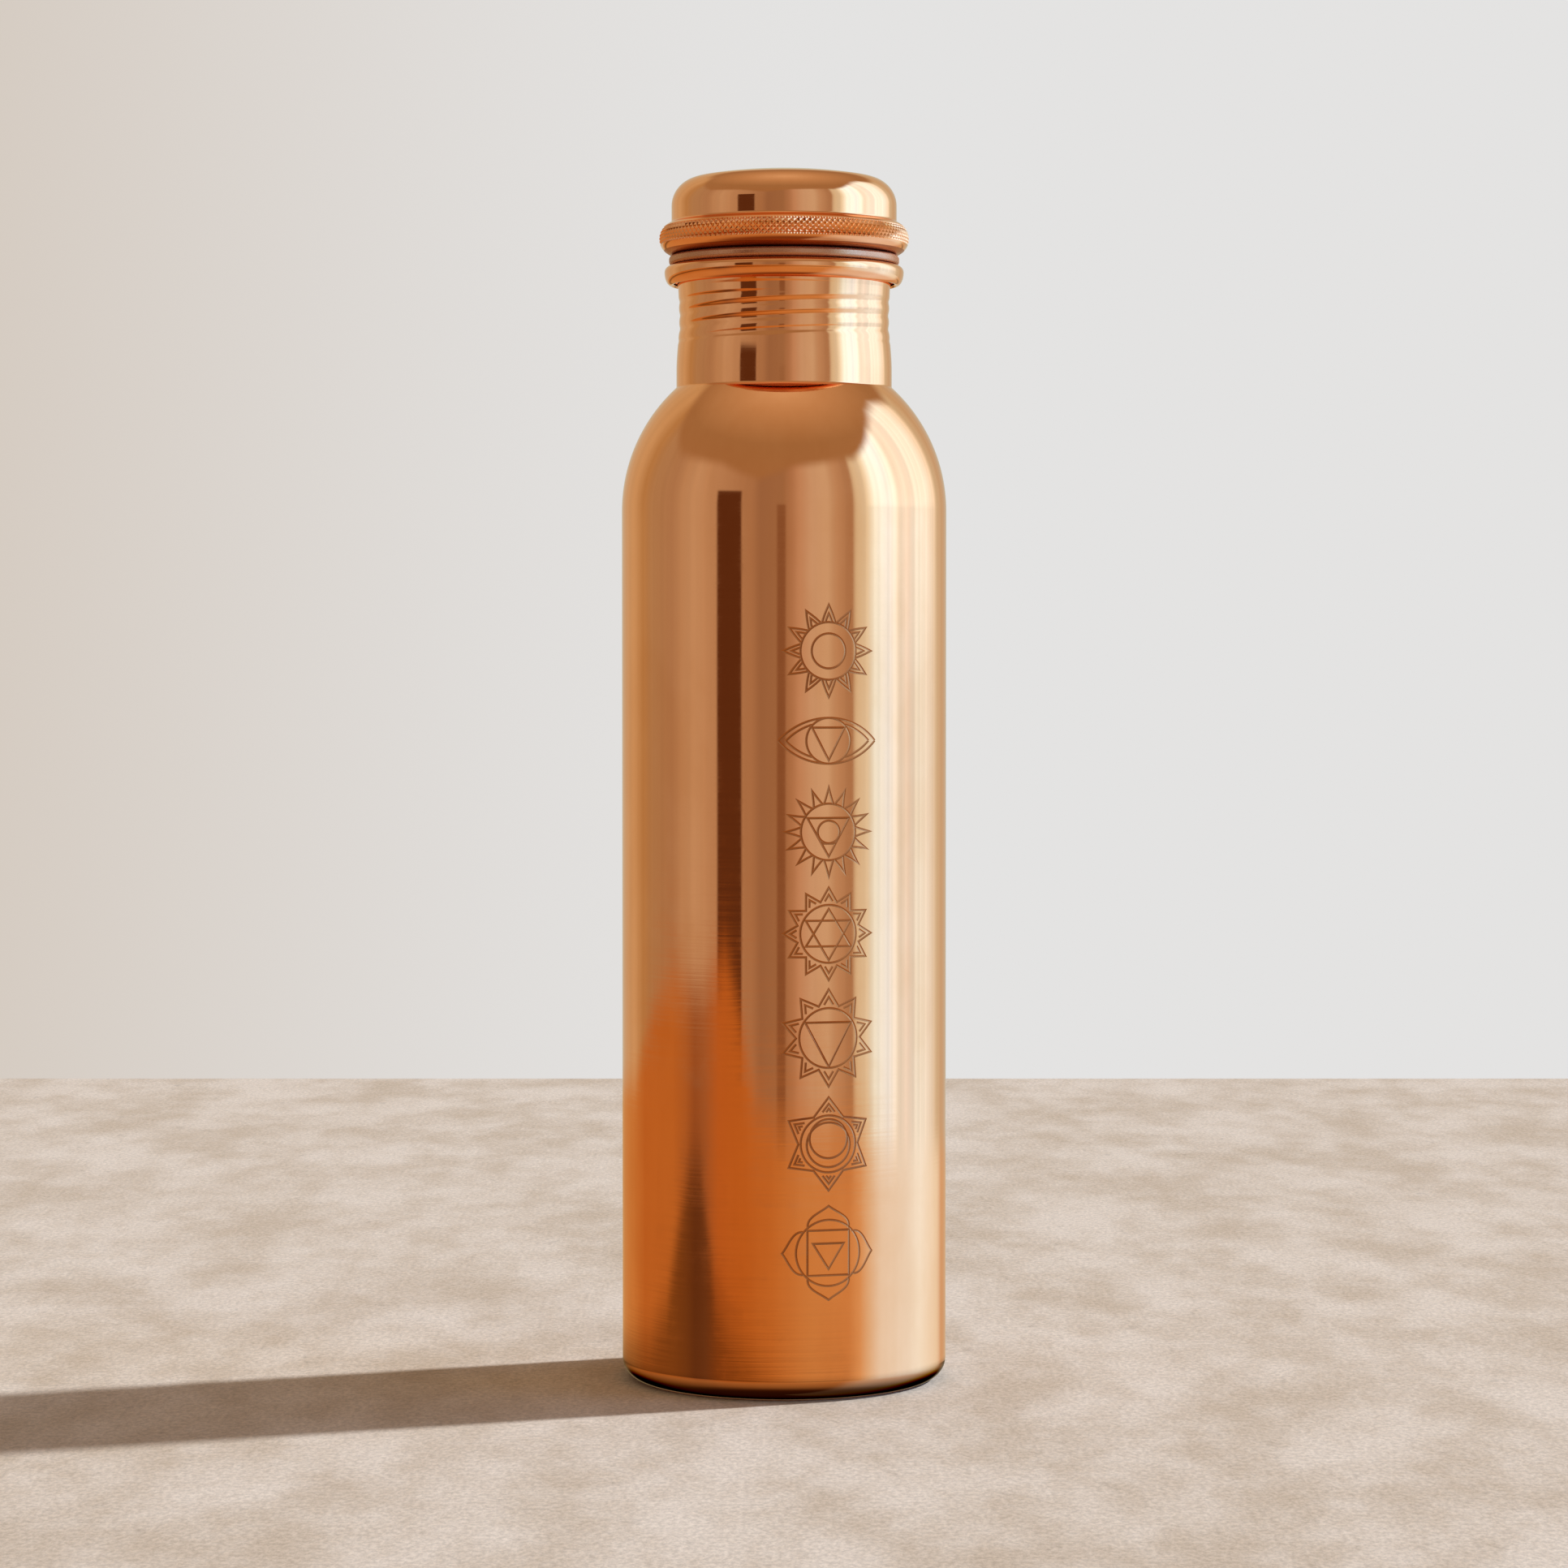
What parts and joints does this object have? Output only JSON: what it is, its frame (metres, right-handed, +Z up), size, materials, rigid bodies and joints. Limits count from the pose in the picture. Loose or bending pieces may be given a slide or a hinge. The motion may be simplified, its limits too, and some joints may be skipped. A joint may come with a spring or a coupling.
{
  "type": "water bottle",
  "caption": "Slim polished copper water bottle with a domed shoulder, a threaded neck, a screw cap with a knurled bead and a silicone sealing ring.",
  "frame": {"origin": "centre of the foot, on the surface that the bottle stands on", "axes": "+Z up along the bottle's axis, -Y towards the front, where the emblems are, +X to the right seen from the front"},
  "size_m": [0.071, 0.071, 0.2644],
  "materials": {
    "body_copper": "mirror-polished copper, laser-marked emblems down the front",
    "base_copper": "spun copper, left satin",
    "cap_copper": "mirror-polished copper, knurled bead",
    "plug_copper": "drawn copper, lightly polished",
    "silicone": "soft translucent silicone, satin"
  },
  "bodies": {
    "bottle": {"bottle_body": "body_copper", "base_cup": "base_copper"},
    "cap_seal": {"cap_gasket": "silicone"},
    "cap": {"cap_dome": "cap_copper", "cap_plug": "plug_copper"}
  },
  "joints": [
    {"name": "cap_rise", "type": "slide", "parent": "bottle", "child": "cap_seal", "axis": [0, 0, 1], "range_m": [0, 0.0241]},
    {"name": "cap_turn", "type": "hinge", "parent": "cap_seal", "child": "cap", "pos_m": [0, 0, 0.2445], "axis": [0, 0, 1], "range_deg": [0, 1440]}
  ],
  "couplings": [
    {"joint": "cap_rise", "follows": "cap_turn", "m_per_rad": 0.00095493}
  ]
}
